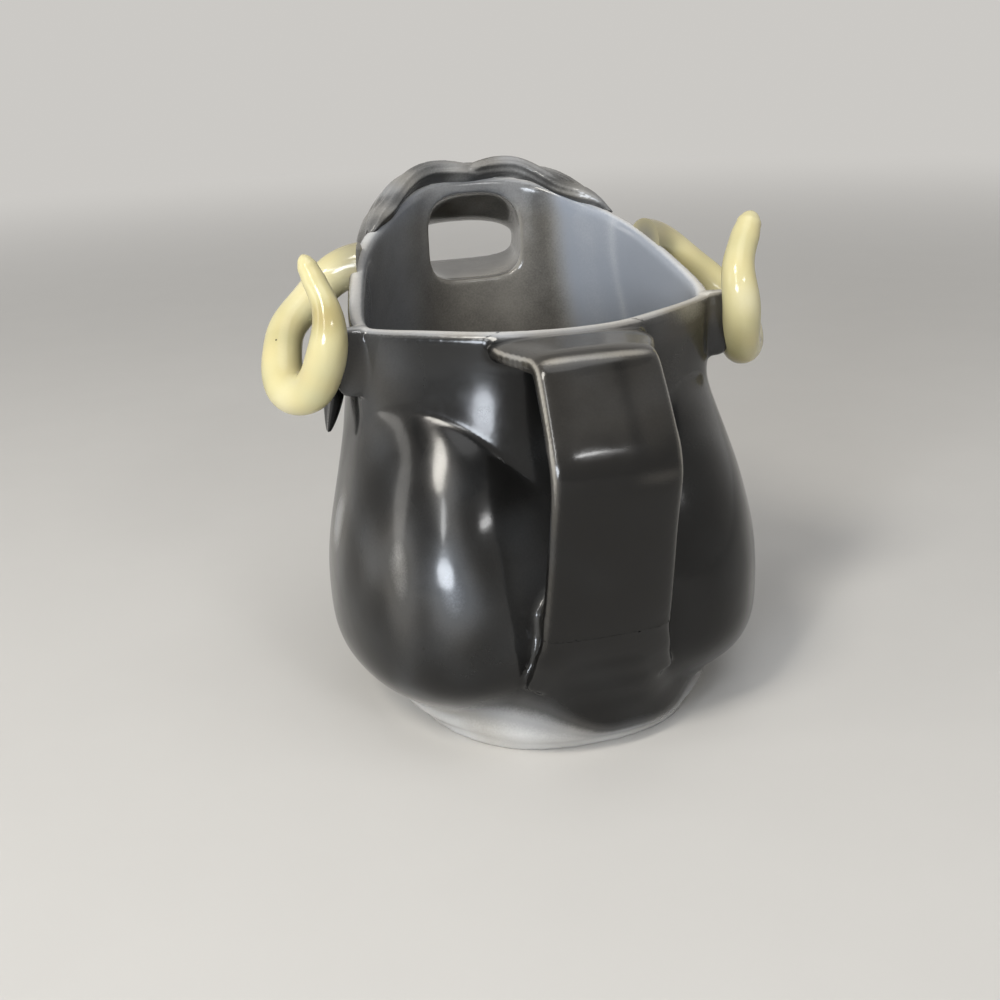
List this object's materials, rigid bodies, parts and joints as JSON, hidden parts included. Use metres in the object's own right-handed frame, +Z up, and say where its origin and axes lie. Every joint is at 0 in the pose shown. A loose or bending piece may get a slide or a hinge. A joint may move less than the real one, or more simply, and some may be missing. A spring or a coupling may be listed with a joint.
{
  "type": "animal creamer jug",
  "caption": "Glazed pottery creamer shaped as a water buffalo: open pot, pouring snout, wavy forelock, curled horns, drooping ears and an angular strap handle.",
  "frame": {"origin": "middle of the flat foot, on the surface the creamer stands on", "axes": "+Z up, +Y the way the snout points and pours, +X to the right seen from behind the handle"},
  "size_m": [0.1016, 0.1068, 0.1008],
  "materials": {
    "black_glaze": "glossy sprayed black glaze that thins to warm grey",
    "grey_glaze": "glossy grey-black glaze",
    "hair_glaze": "glossy grey-black glaze, paler on the ridges",
    "ivory_glaze": "glossy ivory glaze"
  },
  "bodies": {
    "root": {"vessel_body": "black_glaze", "head_spout": "grey_glaze", "hair_crest": "hair_glaze", "horn_left": "ivory_glaze", "horn_right": "ivory_glaze", "ear_left": "black_glaze", "ear_right": "black_glaze", "handle": "black_glaze"}
  },
  "joints": []
}
